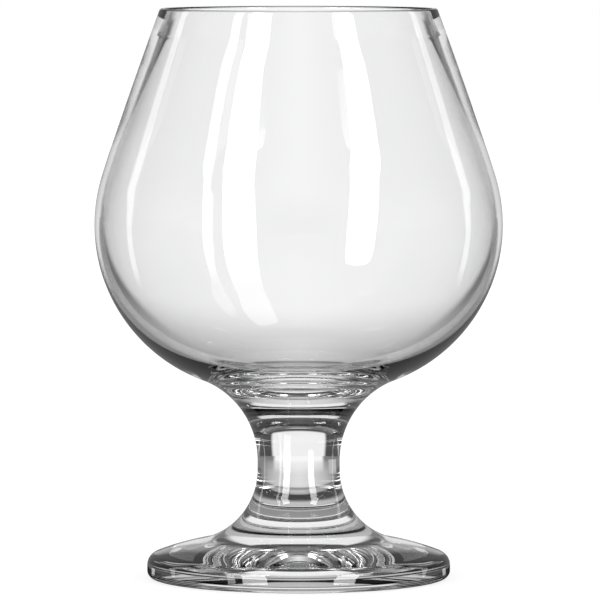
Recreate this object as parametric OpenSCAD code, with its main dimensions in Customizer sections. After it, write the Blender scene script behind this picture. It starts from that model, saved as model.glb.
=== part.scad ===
// Brandy snifter: a short-stemmed drinking glass turned about one upright axis.
// The blown bowl, the drawn stem and the pressed foot are separate solids that meet on flat discs.
// Each outline is drawn as radius and height, then revolved. It is built up from the table:
// the foot, its sweep into the stem, the waist, the sweep into the bowl, the belly and the mouth.

/* [Bowl outside] */
// Largest diameter of the bowl
belly_diameter = 90.2; // [80:0.2:104]
// Radius of the curve that turns the wall in above and below the belly
belly_curve = 36.5; // [31:0.1:42]
// Radius of the slacker curve at the shoulder, which eases the belly into the wall
shoulder_curve = 160; // [90:5:300]
// Angle through which the shoulder turns, in degrees
shoulder_turn = 2.2; // [1:0.1:4]
// Radius of the slight bow of the wall between shoulder and mouth
wall_curve = 1500; // [1000:50:4000]
// Diameter across the mouth, at the top of the outer face
mouth_diameter = 61.1; // [52:0.1:72]
// Height of the mouth above the belly
mouth_rise = 47.8; // [40:0.1:56]

/* [Lip] */
// Thickness of the fire-polished lip
lip_wall = 1.2; // [1:0.05:1.6]
// Thickness of the wall at the bead that melting leaves inside the lip
bead_wall = 2.05; // [1.7:0.05:2.6]
// Distance of the bead below the top of the lip
bead_drop = 5.7; // [4.7:0.1:7]
// Radius of the bead
bead_curve = 2; // [1.2:0.1:3]
// Thickness of the wall just below the bead
neck_wall = 1.75; // [1.4:0.05:1.95]
// Distance of that place below the top of the lip
neck_drop = 12.5; // [11:0.1:15]
// Radius of the hollow curve that leads from the bead into the wall
neck_curve = 10; // [7:0.5:12]

/* [Bowl inside] */
// Thickness of the wall at the belly
belly_wall = 1.1; // [0.9:0.05:1.4]
// How much tighter the inside turns below the belly than the wall asks, which makes the base heavy
base_gain = 2.2; // [1.7:0.1:2.8]
// Height of the lowest point inside over the lowest level of the belly's curve
floor_rise = 1; // [0.6:0.1:1.5]
// Thickness of glass between that point and the stem's upper joint
bowl_base = 5.7; // [4:0.1:7]

/* [Stem] */
// Diameter of the stem at its waist
waist_diameter = 18.2; // [15:0.1:22]
// Length of the straight part of the waist
waist_length = 2; // [0.5:0.1:6]
// Radius of the sweep from the waist out to the bowl
bowl_sweep = 19.3; // [16:0.1:23]
// Radius of the sweep from the waist out to the foot
foot_sweep = 16.1; // [13.5:0.1:19]

/* [Foot] */
// Diameter of the foot
foot_diameter = 67.1; // [60:0.1:78]
// Radius of the crown on the foot's upper face
foot_crown = 60.8; // [50:0.2:90]
// Slope of that face where it meets the round of the edge, in degrees
edge_slope = 20.7; // [18:0.1:24]
// Height at which the foot's edge is widest
edge_height = 2.9; // [2.4:0.1:3.6]
// Radius that rounds the upper side of the foot's edge
edge_round = 2.7; // [2:0.1:3.4]
// Radius that rounds the lower side of the foot's edge
heel_round = 1.6; // [0.8:0.1:2.2]
// Height of the joint between foot and stem
boss_height = 12; // [10:0.1:15]
// Width of the flat ring that rests on the table
rest_width = 5; // [3:0.1:8]
// Depth of the hollow under the foot
recess_depth = 1.1; // [0.5:0.1:2]

/* [Hidden] */
// Largest angle between neighbouring points of an arc
arc_step = 3;
$fn = 180;

mouth_r = mouth_diameter / 2;
belly_r = belly_diameter / 2;
waist_r = waist_diameter / 2;
foot_r = foot_diameter / 2;

// Direction of a vector, and the unit vector in a direction
function bearing(v) = atan2(v.y, v.x);
function toward(a) = [cos(a), sin(a)];

// Points of an arc, from direction a0 to direction a1
function arc(centre, r, a0, a1) =
    let (steps = max(2, ceil(abs(a1 - a0) / arc_step)))
    [for (i = [0:steps]) centre + r * toward(a0 + (a1 - a0) * i / steps)];

// Direction that is square to the line touching two circles. The radius of a hollow curve is negative.
function touching(c1, r1, c2, r2) = bearing(c2 - c1) - acos((r1 - r2) / norm(c2 - c1));

// How far apart in height two curves' centres lie when the curves touch and the centres are r1 + r2 apart
function rise_over(r1, r2, aside) = sqrt((r1 + r2) * (r1 + r2) - aside * aside);

// Direction from a curve's centre to its point at a height
function at_height(centre, r, z) = asin((z - centre.y) / r);

// The foot: its edge, its crown, and the sweep that starts upright at the waist and touches the crown
edge_c = [foot_r - edge_round, edge_height];
crown_out_a = 90 - edge_slope;
crown_c = edge_c - (foot_crown - edge_round) * toward(crown_out_a);
foot_sweep_r = waist_r + foot_sweep;
waist_z = crown_c.y + rise_over(foot_crown, foot_sweep, foot_sweep_r - crown_c.x);
foot_sweep_c = [foot_sweep_r, waist_z];
crown_in_a = bearing(foot_sweep_c - crown_c);
lower_joint_a = 180 + asin((waist_z - boss_height) / foot_sweep);

// Outside of the bowl: the sweep from the waist, and the belly's curve, which touches it
bowl_sweep_c = [waist_r + bowl_sweep, waist_z + waist_length];
belly_in = belly_r - belly_curve;
belly_z = bowl_sweep_c.y + rise_over(belly_curve, bowl_sweep, bowl_sweep_c.x - belly_in);
belly_c = [belly_in, belly_z];
bowl_sweep_a = bearing(bowl_sweep_c - belly_c);
mouth_edge = [mouth_r, belly_z + mouth_rise];

// Shoulder and wall: each touches the last, and the shoulder starts where the wall then meets the mouth
easing = (shoulder_curve - belly_curve) * toward(0) + (wall_curve - shoulder_curve) * toward(shoulder_turn);
mouth_v = mouth_edge - belly_c;
wall_fall = easing * easing + mouth_v * mouth_v - wall_curve * wall_curve;
mouth_turn = acos(wall_fall / (2 * norm(easing) * norm(mouth_v)));
shoulder_a = bearing(mouth_v) + mouth_turn - bearing(easing) - 180;
shoulder_end_a = shoulder_a + shoulder_turn;
shoulder_c = belly_c - (shoulder_curve - belly_curve) * toward(shoulder_a);
wall_c = shoulder_c - (wall_curve - shoulder_curve) * toward(shoulder_end_a);

// Inside of the mouth: the lip's round, the bead and the hollow below it follow the outer wall
lip_round = lip_wall / 2;
wall_end_a = at_height(wall_c, wall_curve - lip_round, mouth_edge.y - lip_round);
lip_c = wall_c + (wall_curve - lip_round) * toward(wall_end_a);
function wall_dir(drop) = toward(at_height(wall_c, wall_curve, mouth_edge.y - drop));
function in_wall(drop, depth) = wall_c + (wall_curve - depth) * wall_dir(drop);
bead_c = in_wall(bead_drop, bead_wall - bead_curve);
neck_c = in_wall(neck_drop, neck_wall + neck_curve);
inner_curve = belly_curve - belly_wall;
inner_shoulder = shoulder_curve - belly_wall;
lip_a = touching(lip_c, lip_round, bead_c, bead_curve) + 360;
bead_a = touching(bead_c, bead_curve, neck_c, -neck_curve) + 360;
neck_a = touching(neck_c, -neck_curve, shoulder_c, -inner_shoulder) + 360;

// Inside below the belly: a tighter curve, and the curve of the floor that it runs into
floor_z = belly_z - belly_curve + floor_rise;
base_curve = inner_curve - base_gain;
base_c = [belly_r - belly_wall - base_curve, belly_z];
fall = belly_z - floor_z;
floor_curve = (base_c.x * base_c.x + fall * fall - base_curve * base_curve) / (2 * (fall - base_curve));
floor_c = [0, floor_z + floor_curve];
floor_a = bearing(base_c - floor_c);
upper_joint_z = floor_z - bowl_base;
upper_joint_a = 180 - asin((upper_joint_z - bowl_sweep_c.y) / bowl_sweep);

// Underside of the foot: a shallow dome inside the resting ring
rest_in_r = foot_r - heel_round - rest_width;
recess_curve = (rest_in_r * rest_in_r + recess_depth * recess_depth) / (2 * recess_depth);
recess_c = [0, recess_depth - recess_curve];
recess_a = bearing([rest_in_r, 0] - recess_c);

module bowl() {
    color("gainsboro", 0.4)
        rotate_extrude()
            polygon(concat(
                [[0, upper_joint_z]],
                arc(bowl_sweep_c, bowl_sweep, upper_joint_a, bowl_sweep_a + 180),
                arc(belly_c, belly_curve, bowl_sweep_a, shoulder_a),
                arc(shoulder_c, shoulder_curve, shoulder_a, shoulder_end_a),
                arc(wall_c, wall_curve, shoulder_end_a, wall_end_a),
                arc(lip_c, lip_round, wall_end_a, lip_a),
                arc(bead_c, bead_curve, lip_a, bead_a),
                arc(neck_c, neck_curve, bead_a - 180, neck_a - 180),
                arc(shoulder_c, inner_shoulder, neck_a - 180, shoulder_a),
                arc(belly_c, inner_curve, shoulder_a, 0),
                arc(base_c, base_curve, 0, floor_a),
                arc(floor_c, floor_curve, floor_a, -90)
            ));
}

module stem() {
    color("lightgrey", 0.4)
        rotate_extrude()
            polygon(concat(
                [[0, boss_height]],
                arc(foot_sweep_c, foot_sweep, lower_joint_a, 180),
                arc(bowl_sweep_c, bowl_sweep, 180, upper_joint_a),
                [[0, upper_joint_z]]
            ));
}

module foot() {
    color("gainsboro", 0.4)
        rotate_extrude()
            polygon(concat(
                arc(recess_c, recess_curve, 90, recess_a),
                arc([foot_r - heel_round, heel_round], heel_round, -90, 0),
                arc(edge_c, edge_round, 0, crown_out_a),
                arc(crown_c, foot_crown, crown_out_a, crown_in_a),
                arc(foot_sweep_c, foot_sweep, crown_in_a + 180, lower_joint_a),
                [[0, boss_height]]
            ));
}

bowl();
stem();
foot();
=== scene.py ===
import bpy
import math
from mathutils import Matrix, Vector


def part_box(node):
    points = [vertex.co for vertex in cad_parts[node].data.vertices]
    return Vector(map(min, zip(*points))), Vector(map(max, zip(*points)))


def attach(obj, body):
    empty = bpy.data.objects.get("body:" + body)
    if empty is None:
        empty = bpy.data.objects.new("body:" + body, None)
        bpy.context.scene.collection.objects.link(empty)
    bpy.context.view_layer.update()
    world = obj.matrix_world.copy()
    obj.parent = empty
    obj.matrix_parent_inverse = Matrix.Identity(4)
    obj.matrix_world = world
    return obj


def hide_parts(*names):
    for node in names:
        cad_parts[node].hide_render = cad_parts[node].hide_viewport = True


# Brandy snifter in clear glass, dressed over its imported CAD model. Metres, Z up, the foot stands on z = 0.
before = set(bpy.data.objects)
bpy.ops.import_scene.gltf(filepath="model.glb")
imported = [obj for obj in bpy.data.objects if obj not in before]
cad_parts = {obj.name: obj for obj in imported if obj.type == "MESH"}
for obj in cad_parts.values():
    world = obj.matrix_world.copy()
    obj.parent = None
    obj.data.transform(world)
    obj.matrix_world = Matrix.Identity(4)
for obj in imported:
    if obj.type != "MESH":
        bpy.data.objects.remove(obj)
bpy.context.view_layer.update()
print("Frame loaded:", ", ".join(sorted(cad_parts)))


# Drawing helpers. An outline is a list of (radius, height) points, and angles are in degrees.

def toward(angle, length=1.0):
    return length * math.cos(math.radians(angle)), length * math.sin(math.radians(angle))


def add(a, b):
    return a[0] + b[0], a[1] + b[1]


def bearing(start, end):
    return math.degrees(math.atan2(end[1] - start[1], end[0] - start[0]))


def arc(centre, radius, start, end, stepAngle=1.5):
    count = max(3, math.ceil(abs(end - start) / stepAngle))
    return [add(centre, toward(start + (end - start) * i / count, radius)) for i in range(count + 1)]


# Direction square to the line that touches two circles. A hollow curve's radius is negative.
def touching(c1, r1, c2, r2):
    return bearing(c1, c2) - math.degrees(math.acos((r1 - r2) / math.dist(c1, c2)))


# Height between the centres of two curves that touch, when the centres lie aside by this much
def riseOver(r1, r2, aside):
    return math.sqrt((r1 + r2) ** 2 - aside ** 2)


# Direction from a curve's centre to its point at a height
def atHeight(centre, radius, height):
    return math.degrees(math.asin((height - centre[1]) / radius))


# Ways of light through the glass, as limits on the faces passed and on the times turned back. A solid part
# has two faces on the way, and the bowl's two walls have four.
lightWay = {"solidFaces": 2.5, "straightTurns": 0.5}


# Small helper that builds one node tree, with shader maths written as calls
class Wiring:
    def __init__(self, tree):
        self.tree = tree

    def put(self, kind, **settings):
        node = self.tree.nodes.new(kind)
        for key, value in settings.items():
            setattr(node, key, value)
        return node

    def link(self, source, socket):
        if isinstance(source, (int, float)):
            socket.default_value = source
        else:
            self.tree.links.new(source, socket)

    def maths(self, operation, *sources):
        node = self.put("ShaderNodeMath", operation=operation)
        for socket, source in zip(node.inputs, sources):
            self.link(source, socket)
        return node.outputs[0]

    def times(self, first, *others):
        for other in others:
            first = self.maths("MULTIPLY", first, other)
        return first

    def most(self, first, *others):
        for other in others:
            first = self.maths("MAXIMUM", first, other)
        return first

    def mix(self, factor, a, b):
        rest = self.maths("SUBTRACT", 1.0, factor)
        return self.maths("ADD", self.times(a, rest), self.times(b, factor))

    # 0 below the start and 1 above the end, smoothly
    def ramp(self, value, start, end):
        node = self.put("ShaderNodeMapRange", interpolation_type="SMOOTHSTEP")
        for name, source in (("Value", value), ("From Min", start), ("From Max", end)):
            self.link(source, node.inputs[name])
        return node.outputs[0]

    # The same around an edge, and falling where the softness is negative
    def edge(self, value, place, soft):
        return self.ramp(value, place - soft, place + soft)

    def band(self, value, ends, soft):
        return self.times(self.edge(value, ends[0], soft), self.edge(value, ends[1], -soft))

    # A smooth line through points. Both ranges are brought to 0 to 1 for the curve and back.
    def curve(self, value, points):
        xs, ys = [x for x, y in points], [y for x, y in points]
        span, low, rise = xs[-1] - xs[0], min(ys), max(ys) - min(ys)
        node = self.put("ShaderNodeFloatCurve")
        knots = node.mapping.curves[0].points
        for x, y in points[1:-1]:
            knots.new((x - xs[0]) / span, (y - low) / rise)
        knots[0].location = (0, (ys[0] - low) / rise)
        knots[-1].location = (1, (ys[-1] - low) / rise)
        for knot in knots:
            knot.handle_type = "AUTO_CLAMPED"
        node.mapping.update()
        self.link(self.maths("DIVIDE", self.maths("SUBTRACT", value, xs[0]), span), node.inputs["Value"])
        return self.maths("ADD", self.times(node.outputs[0], rise), low)

    # 1 for light that came through the solid parts alone
    def throughSolid(self, path):
        return self.maths("LESS_THAN", path["Transmission Depth"], lightWay["solidFaces"])

    # 1 for light that no face inside the glass has turned back
    def straight(self, path):
        return self.maths("LESS_THAN", path["Glossy Depth"], lightWay["straightTurns"])


# Glass. Its shades are nearly clear, and its waves are hundredths of a millimetre deep.
clearShades = {"clear": (1.0, 1.0, 1.0, 1.0), "streak": (0.994, 0.997, 0.996, 1.0), "ior": 1.52}
blownLook = {**clearShades, "streakScale": 90.0, "waveScale": 55.0, "waveDepth": 0.00001}
pressedLook = {**clearShades, "streakScale": 140.0, "waveScale": 120.0, "waveDepth": 0.000012}
drawnOut = 0.25  # the streaks' scale along the axis, which makes them four times as long there


# Faint streaks of tint and shallow waves that working the melt leaves, as a colour and a normal
def meltGroup():
    group = bpy.data.node_groups.new("workedMelt", "ShaderNodeTree")
    inputs = (("Vector", "Vector"), ("Streak Scale", "Float"), ("Wave Scale", "Float"),
              ("Wave Depth", "Float"), ("Clear", "Color"), ("Streak", "Color"))
    outputs = (("Color", "Color"), ("Normal", "Vector"))
    for way, sockets in (("INPUT", inputs), ("OUTPUT", outputs)):
        for name, kind in sockets:
            group.interface.new_socket(name=name, in_out=way, socket_type="NodeSocket" + kind)
    wiring = Wiring(group)
    given = wiring.put("NodeGroupInput").outputs
    made = wiring.put("NodeGroupOutput").inputs
    drawn = wiring.put("ShaderNodeMapping")
    drawn.inputs["Scale"].default_value = (1.0, 1.0, drawnOut)
    wiring.link(given["Vector"], drawn.inputs["Vector"])
    streaks = wiring.put("ShaderNodeTexNoise")
    streaks.inputs["Detail"].default_value = 2.0
    wiring.link(drawn.outputs["Vector"], streaks.inputs["Vector"])
    wiring.link(given["Streak Scale"], streaks.inputs["Scale"])
    shades = wiring.put("ShaderNodeMix", data_type="RGBA")
    # Sockets 0, 6 and 7 of a colour mix are its factor and its two colours, and output 2 is the colour
    wiring.link(streaks.outputs[0], shades.inputs[0])
    wiring.link(given["Clear"], shades.inputs[6])
    wiring.link(given["Streak"], shades.inputs[7])
    wiring.link(shades.outputs[2], made["Color"])
    waves = wiring.put("ShaderNodeTexNoise")
    waves.inputs["Detail"].default_value = 0.0
    wiring.link(given["Vector"], waves.inputs["Vector"])
    wiring.link(given["Wave Scale"], waves.inputs["Scale"])
    bump = wiring.put("ShaderNodeBump")
    wiring.link(waves.outputs[0], bump.inputs["Height"])
    wiring.link(given["Wave Depth"], bump.inputs["Distance"])
    wiring.link(bump.outputs["Normal"], made["Normal"])
    return group


def glassMaterial(name, group, look):
    material = bpy.data.materials.new(name)
    material.use_nodes = True
    wiring = Wiring(material.node_tree)
    melt = wiring.put("ShaderNodeGroup", node_tree=group)
    wiring.link(wiring.put("ShaderNodeTexCoord").outputs["Object"], melt.inputs["Vector"])
    for socket, key in (("Streak Scale", "streakScale"), ("Wave Scale", "waveScale"),
                        ("Wave Depth", "waveDepth"), ("Clear", "clear"), ("Streak", "streak")):
        melt.inputs[socket].default_value = look[key]
    shader = material.node_tree.nodes["Principled BSDF"].inputs
    shader["Transmission Weight"].default_value = 1.0
    shader["IOR"].default_value = look["ior"]
    shader["Roughness"].default_value = 0.0
    wiring.link(melt.outputs["Color"], shader["Base Color"])
    wiring.link(melt.outputs["Normal"], shader["Normal"])
    return material


# The discs where two gathers of glass are fused show nothing
def jointMaterial(name):
    material = bpy.data.materials.new(name)
    material.use_nodes = True
    material.node_tree.nodes["Principled BSDF"].inputs["Alpha"].default_value = 0.0
    return material


workedMelt = meltGroup()
blownGlass = glassMaterial("blownGlass", workedMelt, blownLook)
pressedGlass = glassMaterial("pressedGlass", workedMelt, pressedLook)
fusedJoint = jointMaterial("fusedJoint")
print("Glass mixed")


# Sizes that more than one piece follows
glass = {
    "footRadius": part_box("foot")[1].x,
    "lowerJoint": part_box("foot")[1].z,
    "upperJoint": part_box("bowl")[0].z,
    "bellyRadius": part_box("bowl")[1].x,
    "waistRadius": 0.0091,
    "waistLength": 0.002,
    "bowlSweep": 0.0193,  # waist out to the bowl
    "footSweep": 0.0161,  # waist out to the foot
    "turns": 256,  # faces round the axis
    "smoothBelow": 35,  # degrees between faces that are shaded as one surface
    "same": 1e-6,  # points this close are one point
    "level": 0.99,  # a face whose normal is at least this upright is level
}


# Turns an outline into a closed piece. The outline's first point starts as a plane merged to one vertex.
def turnPiece(name, outline):
    bpy.ops.object.select_all(action="DESELECT")
    bpy.ops.mesh.primitive_plane_add(size=0.001, location=(outline[0][0], 0, outline[0][1]))
    piece = bpy.context.object
    piece.name = piece.data.name = name
    bpy.ops.object.mode_set(mode="EDIT")
    bpy.ops.mesh.merge(type="CENTER")
    for (r0, z0), (r1, z1) in zip(outline, outline[1:]):
        bpy.ops.mesh.extrude_region_move(TRANSFORM_OT_translate={"value": (r1 - r0, 0, z1 - z0)})
    bpy.ops.mesh.select_all(action="SELECT")
    bpy.ops.mesh.spin(steps=glass["turns"], angle=math.tau, center=(0, 0, 0), axis=(0, 0, 1))
    bpy.ops.mesh.select_all(action="SELECT")
    bpy.ops.mesh.remove_doubles(threshold=glass["same"])
    bpy.ops.mesh.normals_make_consistent(inside=False)
    bpy.ops.object.mode_set(mode="OBJECT")
    bpy.ops.object.transform_apply(location=True, rotation=True, scale=True)
    bpy.ops.object.shade_smooth_by_angle(angle=math.radians(glass["smoothBelow"]))
    print("Turned", name, "with", len(piece.data.polygons), "faces")
    return piece


# Gives a turned piece its glass, hides the flat discs at its joints and sets it on the frame
def finishPiece(piece, node, material, joints):
    piece.data.materials.append(material)
    piece.data.materials.append(fusedJoint)
    for face in piece.data.polygons:
        level = abs(face.normal.z) > glass["level"]
        if level and any(abs(face.center.z - height) < glass["same"] for height in joints):
            face.material_index = 1
    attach(piece, "root")
    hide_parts(node)


# Foot. The steps are degrees between points of each arc.
footShape = {
    "crown": 0.0608,
    "edgeSlope": 20.7,
    "edgeHeight": 0.0029,
    "edgeRound": 0.0027,
    "heelRound": 0.0016,
    "restWidth": 0.005,
    "recessDepth": 0.0011,
    "steps": {"recess": 0.25, "heel": 7.5, "edge": 5, "crown": 0.75},
}

# Curves that the foot, the stem and the bowl share
edgeCentre = (glass["footRadius"] - footShape["edgeRound"], footShape["edgeHeight"])
crownOut = 90 - footShape["edgeSlope"]
crownCentre = add(edgeCentre, toward(crownOut, footShape["edgeRound"] - footShape["crown"]))
sweepOut = glass["waistRadius"] + glass["footSweep"]
waistHeight = crownCentre[1] + riseOver(footShape["crown"], glass["footSweep"], sweepOut - crownCentre[0])
footSweepCentre = (sweepOut, waistHeight)
crownIn = bearing(crownCentre, footSweepCentre)
bowlSweepCentre = (glass["waistRadius"] + glass["bowlSweep"], waistHeight + glass["waistLength"])
lowerJointAngle = 180 - atHeight(footSweepCentre, glass["footSweep"], glass["lowerJoint"])
upperJointAngle = 180 - atHeight(bowlSweepCentre, glass["bowlSweep"], glass["upperJoint"])


def footOutline():
    shape, steps = footShape, footShape["steps"]
    heelCentre = (glass["footRadius"] - shape["heelRound"], shape["heelRound"])
    restInside = heelCentre[0] - shape["restWidth"]
    recess = (restInside ** 2 + shape["recessDepth"] ** 2) / (2 * shape["recessDepth"])
    recessCentre = (0.0, shape["recessDepth"] - recess)
    outline = arc(recessCentre, recess, 90, bearing(recessCentre, (restInside, 0)), steps["recess"])
    outline += arc(heelCentre, shape["heelRound"], -90, 0, steps["heel"])
    outline += arc(edgeCentre, shape["edgeRound"], 0, crownOut, steps["edge"])
    outline += arc(crownCentre, shape["crown"], crownOut, crownIn, steps["crown"])[1:]
    outline += arc(footSweepCentre, glass["footSweep"], crownIn + 180, lowerJointAngle)[1:]
    return outline + [(0.0, glass["lowerJoint"])]


foot = turnPiece("footGlass", footOutline())
finishPiece(foot, "foot", pressedGlass, [glass["lowerJoint"]])


# Stem
def stemOutline():
    outline = [(0.0, glass["lowerJoint"])]
    outline += arc(footSweepCentre, glass["footSweep"], lowerJointAngle, 180)
    outline += arc(bowlSweepCentre, glass["bowlSweep"], 180, upperJointAngle)
    return outline + [(0.0, glass["upperJoint"])]


stem = turnPiece("stemGlass", stemOutline())
finishPiece(stem, "stem", pressedGlass, [glass["lowerJoint"], glass["upperJoint"]])


# Bowl. Close steps at the shoulder keep its reflections smooth, so they start a little below it.
bowlShape = {
    "bellyCurve": 0.0365,
    "shoulderCurve": 0.160,
    "shoulderTurn": 2.2,
    "wallCurve": 1.5,
    "mouthRadius": 0.03055,
    "mouthRise": 0.0478,
    "lipWall": 0.0012,
    "beadWall": 0.00205,
    "beadDrop": 0.0057,
    "beadCurve": 0.002,
    "neckWall": 0.00175,
    "neckDrop": 0.0125,
    "neckCurve": 0.010,
    "bellyWall": 0.0011,
    "baseGain": 0.0022,
    "floorRise": 0.001,
    "closeFrom": 4,
    "steps": {"close": 0.25, "shoulder": 0.1, "wall": 0.05, "lip": 10, "bead": 2, "inside": 0.5, "floor": 1},
}


def bowlOutline():
    shape, steps = bowlShape, bowlShape["steps"]
    bellyCurve, shoulderCurve, wallCurve = shape["bellyCurve"], shape["shoulderCurve"], shape["wallCurve"]
    bellyIn = glass["bellyRadius"] - bellyCurve
    rise = riseOver(bellyCurve, glass["bowlSweep"], bowlSweepCentre[0] - bellyIn)
    belly = (bellyIn, bowlSweepCentre[1] + rise)
    sweepEnd = bearing(belly, bowlSweepCentre)
    mouth = (shape["mouthRadius"], belly[1] + shape["mouthRise"])

    # The shoulder starts in the direction that leads the wall's curve through the mouth
    toMouth = (mouth[0] - belly[0], mouth[1] - belly[1])
    easing = add((shoulderCurve - bellyCurve, 0.0), toward(shape["shoulderTurn"], wallCurve - shoulderCurve))
    wallFall = math.hypot(*easing) ** 2 + math.hypot(*toMouth) ** 2 - wallCurve ** 2
    turn = math.degrees(math.acos(wallFall / (2 * math.hypot(*easing) * math.hypot(*toMouth))))
    shoulderStart = bearing((0, 0), toMouth) + turn - bearing((0, 0), easing) - 180
    shoulderEnd = shoulderStart + shape["shoulderTurn"]
    shoulder = add(belly, toward(shoulderStart, bellyCurve - shoulderCurve))
    wall = add(shoulder, toward(shoulderEnd, shoulderCurve - wallCurve))
    lipRound = shape["lipWall"] / 2
    wallEnd = atHeight(wall, wallCurve - lipRound, mouth[1] - lipRound)
    lip = add(wall, toward(wallEnd, wallCurve - lipRound))

    # Point at a distance below the mouth and at a depth in the wall
    def inWall(drop, depth):
        return add(wall, toward(atHeight(wall, wallCurve, mouth[1] - drop), wallCurve - depth))

    bead = inWall(shape["beadDrop"], shape["beadWall"] - shape["beadCurve"])
    neck = inWall(shape["neckDrop"], shape["neckWall"] + shape["neckCurve"])
    inner = bellyCurve - shape["bellyWall"]
    innerShoulder = shoulderCurve - shape["bellyWall"]
    lipIn = touching(lip, lipRound, bead, shape["beadCurve"]) + 360
    beadIn = touching(bead, shape["beadCurve"], neck, -shape["neckCurve"]) + 360
    neckIn = touching(neck, -shape["neckCurve"], shoulder, -innerShoulder) + 360

    # Below the belly the inside turns tighter, which makes the base heavy, and runs into the floor's curve
    base = inner - shape["baseGain"]
    baseCentre = (glass["bellyRadius"] - shape["bellyWall"] - base, belly[1])
    fall = bellyCurve - shape["floorRise"]
    floorCurve = (baseCentre[0] ** 2 + fall ** 2 - base ** 2) / (2 * (fall - base))
    floorCentre = (0.0, belly[1] - fall + floorCurve)
    floorTurn = bearing(floorCentre, baseCentre)
    closeStart = shoulderStart - shape["closeFrom"]

    outline = [(0.0, glass["upperJoint"])]
    outline += arc(bowlSweepCentre, glass["bowlSweep"], upperJointAngle, sweepEnd + 180)
    outline += arc(belly, bellyCurve, sweepEnd, closeStart)[1:]
    outline += arc(belly, bellyCurve, closeStart, shoulderStart, steps["close"])[1:]
    outline += arc(shoulder, shoulderCurve, shoulderStart, shoulderEnd, steps["shoulder"])[1:]
    outline += arc(wall, wallCurve, shoulderEnd, wallEnd, steps["wall"])[1:]
    outline += arc(lip, lipRound, wallEnd, lipIn, steps["lip"])
    outline += arc(bead, shape["beadCurve"], lipIn, beadIn, steps["bead"])
    outline += arc(neck, shape["neckCurve"], beadIn - 180, neckIn - 180)
    outline += arc(shoulder, innerShoulder, neckIn - 180, shoulderStart, steps["inside"])
    outline += arc(belly, inner, shoulderStart, 0)[1:]
    outline += arc(baseCentre, base, 0, floorTurn)[1:]
    outline += arc(floorCentre, floorCurve, floorTurn, -90, steps["floor"])[1:]
    return outline


bowl = turnPiece("bowlGlass", bowlOutline())
finishPiece(bowl, "bowl", blownGlass, [glass["upperJoint"]])


# Camera, where the photograph was taken from
cameraPlace = {"aside": 0.0003, "away": 1.3483, "height": 0.15085, "tilt": 3.79}
cameraBody = {"lens": 366.7, "sensor": 36, "sees": 50}

bpy.ops.object.select_all(action="DESELECT")
bpy.ops.object.camera_add(
    location=(cameraPlace["aside"], -cameraPlace["away"], cameraPlace["height"]),
    rotation=(math.radians(90 - cameraPlace["tilt"]), 0, 0),
)
camera = bpy.context.object
camera.data.lens = cameraBody["lens"]
camera.data.sensor_width = cameraBody["sensor"]
camera.data.clip_end = cameraBody["sees"]
bpy.context.scene.camera = camera
print("Camera placed")


# Studio. Azimuth 0 is behind the glass and grows to the right, elevation is up, both in degrees.
# Camera and floor see plain white. What the glass bends or mirrors is a white backdrop between dark cards,
# and tall softboxes beside the camera that show as strips. "soft" is across and up.
studio = {
    "mirrored": 0.246,  # what the outer faces mirror beside the softboxes
    "mirroredBackdrop": {"azimuth": (-8, 8), "elevation": (2, 32), "soft": (2, 2), "strength": 0.75},
    # White on both sides, seen straight through the bowl by views from there
    "sideField": {"azimuth": (76, 104), "elevation": (-100, 9), "soft": (2, 2), "strength": 0.9},
    "cameraSide": (110, 1),  # where the cards on the camera's side start, and how softly
    "softboxTop": (42, 1),
    "softboxEdge": 0.4,
    "softboxDims": (-36, -14),  # elevations between which their light falls to "low"
    "softboxesBent": 0.3,  # share of the softboxes that comes through the solid parts
}

# The solid parts see one set of cards and panels, the thin bowl sees another through its two walls
solidSet = {
    "cards": 0.06,
    "cameraCards": 0.02,
    "backdrop": {"azimuth": (-29.0, 29.0), "elevation": (-100, 28.5), "soft": (3.0, 2.5), "strength": 0.93},
    "above": {"azimuth": (-170.5, 170.5), "elevation": (28.5, 65.3), "soft": (6, 4), "strength": 0.06},
    "sideRight": {"azimuth": (91.0, 157.4), "elevation": (-100, 30), "soft": (14, 30), "strength": 0.5},
    "sideLeft": {"azimuth": (-157.4, -91.0), "elevation": (-100, 30), "soft": (14, 30), "strength": 0.5},
}
bowlSet = {
    "cards": 0.031,
    "cameraCards": 0.223,
    "backdrop": {"azimuth": (-12, 12), "elevation": (-100, 8), "soft": (1, 1), "strength": 1.0},
    "above": {"azimuth": (-60, 60), "elevation": (8, 40), "soft": (6, 4), "strength": 0.06},
    "sideRight": {"azimuth": (91.0, 157.4), "elevation": (-100, 17), "soft": (3, 3), "strength": 0.019},
    "sideLeft": {"azimuth": (-157.4, -91.0), "elevation": (-100, 17), "soft": (3, 3), "strength": 0.019},
}

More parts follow.
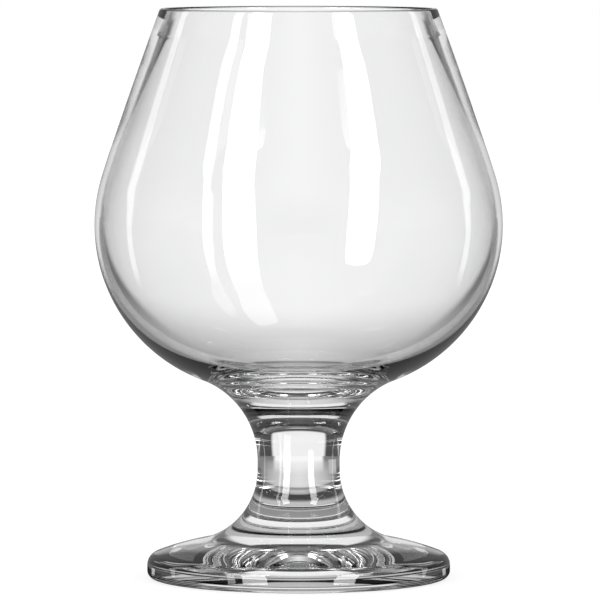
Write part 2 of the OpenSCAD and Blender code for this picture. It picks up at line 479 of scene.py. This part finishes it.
# Each edge of a softbox is a bent line of (elevation, azimuth) points. Its light falls to "low" well under
# the horizon. The rims stand on both sides.
softboxes = {
    "wideLeft": {
        "inner": ((-67, -142), (-63, -133.5), (-56, -133.5), (-41, -137.3), (0, -137), (15, -135.5),
                  (28, -132.3), (32.5, -130.3), (36, -134.7), (45, -135.4)),
        "outer": ((-67, -149), (-62, -158.8), (-47, -158), (-42, -156.8), (0, -156.3), (24, -153.7),
                  (36, -151.3), (37.5, -154.7), (45, -155.5)),
        "bottom": -66.5, "fade": 1.5, "strength": 10, "low": 2.6,
    },
    "narrowLeft": {
        "inner": ((-55, -118), (-46, -118), (-24, -124.8), (0, -124.7), (20, -121.7), (27, -118.9),
                  (31, -115.6), (33.6, -119.7), (45, -120.5)),
        "outer": ((-55, -124.5), (-48, -129), (-24, -129.6), (-9, -131), (6, -130.5), (21, -128),
                  (31.4, -123.4), (34.8, -127.4), (45, -128.2)),
        "bottom": -55, "fade": 4, "strength": 5, "low": 1.6,
    },
    "wideRight": {
        "inner": ((-23, 144), (-19, 138.1), (-1, 136.2), (14, 133.5), (28, 129), (32.4, 124.5),
                  (35, 128.6), (45, 129.4)),
        "outer": ((-23, 147), (-20, 152.6), (-9, 153.4), (7, 152.1), (23, 149.4), (33, 146),
                  (35.3, 143.5), (37.1, 146.2), (45, 147)),
        "bottom": -22.5, "fade": 1, "strength": 10, "low": 4,
    },
    "rims": {
        "inner": ((-26, 61), (-11, 66.5), (-6.5, 66.9), (5, 65.6), (17, 60.5), (20, 61.6), (45, 62.4)),
        "outer": ((-26, 65), (-16, 70.8), (-7, 71.9), (6, 71.6), (19, 68), (22, 69), (45, 69.8)),
        "bottom": -22, "fade": 7, "strength": 2.4, "low": 1.2,
    },
}


def lightStudio():
    world = bpy.data.worlds.new("studio")
    bpy.context.scene.world = world
    world.use_nodes = True
    wiring = Wiring(world.node_tree)
    split = wiring.put("ShaderNodeSeparateXYZ")
    wiring.link(wiring.put("ShaderNodeTexCoord").outputs["Generated"], split.inputs[0])
    x, y, z = split.outputs
    azimuth = wiring.maths("DEGREES", wiring.maths("ARCTAN2", x, y))
    elevation = wiring.maths("DEGREES", wiring.maths("ARCSINE", z))
    aside = wiring.maths("ABSOLUTE", azimuth)

    def panelLight(panel, position):
        across = wiring.band(position, panel["azimuth"], panel["soft"][0])
        up = wiring.band(elevation, panel["elevation"], panel["soft"][1])
        return wiring.times(across, up, panel["strength"])

    def boxLight(box, position):
        edges = [wiring.curve(elevation, box[edge]) for edge in ("inner", "outer")]
        fromLow = wiring.maths("SUBTRACT", position, wiring.maths("MINIMUM", *edges))
        fromHigh = wiring.maths("SUBTRACT", wiring.maths("MAXIMUM", *edges), position)
        across = wiring.times(*(wiring.edge(gap, 0, studio["softboxEdge"]) for gap in (fromLow, fromHigh)))
        up = wiring.edge(elevation, box["bottom"], box["fade"])
        strength = wiring.mix(wiring.ramp(elevation, *studio["softboxDims"]), box["low"], box["strength"])
        return wiring.times(across, up, strength)

    def setLight(cards):
        onCameraSide = wiring.edge(aside, *studio["cameraSide"])
        light = wiring.mix(onCameraSide, cards["cards"], cards["cameraCards"])
        panels = ("backdrop", "above", "sideRight", "sideLeft")
        return wiring.most(light, *(panelLight(cards[name], azimuth) for name in panels))

    boxes = 0.0
    for name, box in softboxes.items():
        boxes = wiring.most(boxes, boxLight(box, aside if name == "rims" else azimuth))
    top, soft = studio["softboxTop"]
    boxes = wiring.times(boxes, wiring.edge(elevation, top, -soft))

    path = wiring.put("ShaderNodeLightPath").outputs
    solid = wiring.most(setLight(solidSet), wiring.times(boxes, studio["softboxesBent"]))
    sideField = wiring.times(panelLight(studio["sideField"], aside), wiring.straight(path))
    bent = wiring.mix(wiring.throughSolid(path), wiring.most(setLight(bowlSet), sideField), solid)
    mirrored = wiring.most(studio["mirrored"], panelLight(studio["mirroredBackdrop"], azimuth), boxes)
    light = wiring.mix(path["Is Reflection Ray"], bent, mirrored)
    plain = wiring.most(path["Is Camera Ray"], path["Is Diffuse Ray"])
    background = world.node_tree.nodes["Background"].inputs
    background["Color"].default_value = (1, 1, 1, 1)
    wiring.link(wiring.mix(plain, light, 1.0), background["Strength"])
    print("Studio lit")


# Table. The rings are painted shadow and painted light round the foot, tones that the glass alone sees,
# from under the foot outward: in front, at the sides and behind. An azimuth edge is its place and softness.
table = {
    "radius": 3.0,
    "sides": 96,
    "albedo": 0.35,
    "glow": 0.74,  # brings the lit table up to white
    "mirrorEdge": 0.045,  # beyond this the glass mirrors the studio and not the table
    "mirrored": 0.004,
    # painted shadow under the middle of the foot
    "shadeUnderFoot": 0.048,
    "front": (160.8, 48.4),
    "frontStraight": 0.45,  # share of the front's tone for light that nothing inside the glass turns back
    "behind": (34.2, 48.4),
    # rings of painted shadow and painted light round the foot
    "shadeAndLightRings": (
        {"from": 0.0152, "soft": 0.003, "front": 1.127, "side": 0.039, "behind": 0.599},
        {"from": 0.0351, "soft": 0.0015, "front": 0.0, "side": 0.0, "behind": 0.322},
        {"from": 0.048, "soft": 0.004, "front": 1.2, "side": 0.001, "behind": 0.82},
    ),
    # far out the table is painted darker at the sides and in front, and white behind
    "far": {"from": 0.29, "soft": 0.16, "front": 0.62, "behind": 1.0},
    "farSolid": {"side": 0.2, "behind": (26.0, 3)},
    "farBowl": {"side": 0.12, "behind": (12, 1.5)},
    # Pale fields of painted light that views from other sides see straight through the glass
    "fields": (
        {"azimuth": (-56, -34), "radius": (0.10, 0.42), "solid": 0.5, "bowl": 0.85},
        {"azimuth": (121, 149), "radius": (0.12, 0.90), "solid": 0.5, "bowl": 0.9},
        {"azimuth": (76, 104), "radius": (0.30, 3.50), "solid": 0.5, "bowl": 0.9},
        {"azimuth": (-104, -76), "radius": (0.30, 3.50), "solid": 0.5, "bowl": 0.9},
    ),
    "fieldSoft": (2, 0.04),  # in azimuth and in radius
}


# Painted light and shade on the table as the glass sees it, on the table's own wiring
def tableLightAndShade(wiring, path, azimuth, radius):
    aside = wiring.maths("ABSOLUTE", azimuth)
    straight = wiring.straight(path)
    throughSolid = wiring.throughSolid(path)
    frontShare = wiring.mix(straight, 1.0, table["frontStraight"])
    inFront = wiring.times(wiring.edge(aside, *table["front"]), frontShare)

    def ringLightAndShade(ring, side, behind):
        place, soft = behind
        lightAndShade = wiring.mix(inFront, side, ring["front"])
        return wiring.mix(wiring.edge(aside, place, -soft), lightAndShade, ring["behind"])

    lightAndShade = table["shadeUnderFoot"]
    for ring in table["shadeAndLightRings"]:
        beyond = wiring.edge(radius, ring["from"], ring["soft"])
        lightAndShade = wiring.mix(beyond, lightAndShade, ringLightAndShade(ring, ring["side"], table["behind"]))
    far = table["far"]
    farLightAndShade = wiring.mix(throughSolid, ringLightAndShade(far, **table["farBowl"]), ringLightAndShade(far, **table["farSolid"]))
    lightAndShade = wiring.mix(wiring.edge(radius, far["from"], far["soft"]), lightAndShade, farLightAndShade)
    across, along = table["fieldSoft"]
    for field in table["fields"]:
        sideways = wiring.band(azimuth, field["azimuth"], across)
        outward = wiring.band(radius, field["radius"], along)
        pale = wiring.times(straight, wiring.mix(throughSolid, field["bowl"], field["solid"]))
        lightAndShade = wiring.most(lightAndShade, wiring.times(sideways, outward, pale))
    return lightAndShade


def tableMaterial(name):
    material = bpy.data.materials.new(name)
    material.use_nodes = True
    tree = material.node_tree
    tree.nodes.remove(tree.nodes["Principled BSDF"])
    wiring = Wiring(tree)
    split = wiring.put("ShaderNodeSeparateXYZ")
    wiring.link(wiring.put("ShaderNodeTexCoord").outputs["Object"], split.inputs[0])
    x, y = split.outputs["X"], split.outputs["Y"]
    azimuth = wiring.maths("DEGREES", wiring.maths("ARCTAN2", x, y))
    radius = wiring.maths("SQRT", wiring.maths("ADD", wiring.times(x, x), wiring.times(y, y)))
    path = wiring.put("ShaderNodeLightPath").outputs
    mirrored = wiring.times(path["Is Glossy Ray"], path["Is Reflection Ray"])
    # painted light and shade of the table, for the glass's rays alone
    lightAndShade = wiring.mix(mirrored, tableLightAndShade(wiring, path, azimuth, radius), table["mirrored"])

    # Camera and bounced light meet a white table that keeps the glass's shadow
    plain = wiring.put("ShaderNodeBsdfDiffuse")
    plain.inputs["Color"].default_value = (table["albedo"],) * 3 + (1,)
    glow = wiring.put("ShaderNodeEmission")
    wiring.link(wiring.times(path["Is Camera Ray"], table["glow"]), glow.inputs["Strength"])
    lit = wiring.put("ShaderNodeAddShader")
    wiring.link(plain.outputs[0], lit.inputs[0])
    wiring.link(glow.outputs[0], lit.inputs[1])

    # The glass sees the painted rings of shadow and light, and mirrors nothing of the table beyond its edge
    seen = wiring.put("ShaderNodeEmission")
    wiring.link(lightAndShade, seen.inputs["Strength"])
    gone = wiring.times(mirrored, wiring.maths("GREATER_THAN", radius, table["mirrorEdge"]))
    throughGlass = wiring.put("ShaderNodeMixShader")
    clear = wiring.put("ShaderNodeBsdfTransparent")
    for socket, source in zip(throughGlass.inputs, (gone, seen.outputs[0], clear.outputs[0])):
        wiring.link(source, socket)
    glassSees = wiring.most(path["Is Glossy Ray"], path["Is Transmission Ray"])
    choice = wiring.put("ShaderNodeMixShader")
    for socket, source in zip(choice.inputs, (glassSees, lit.outputs[0], throughGlass.outputs[0])):
        wiring.link(source, socket)
    wiring.link(choice.outputs[0], tree.nodes["Material Output"].inputs["Surface"])
    return material


def layTable():
    bpy.ops.object.select_all(action="DESELECT")
    bpy.ops.mesh.primitive_circle_add(vertices=table["sides"], radius=table["radius"], fill_type="NGON")
    top = bpy.context.object
    top.name = top.data.name = "tableTop"
    top.data.materials.append(tableMaterial("whiteTable"))
    print("Table laid")


lightStudio()
layTable()

# Light crosses many faces of glass before it leaves
bounces = {"all": 32, "glossy": 16, "transmission": 32, "transparent": 64}
scene = bpy.context.scene
scene.view_settings.view_transform = "Standard"
scene.cycles.max_bounces = bounces["all"]
scene.cycles.glossy_bounces = bounces["glossy"]
scene.cycles.transmission_bounces = bounces["transmission"]
scene.cycles.transparent_max_bounces = bounces["transparent"]
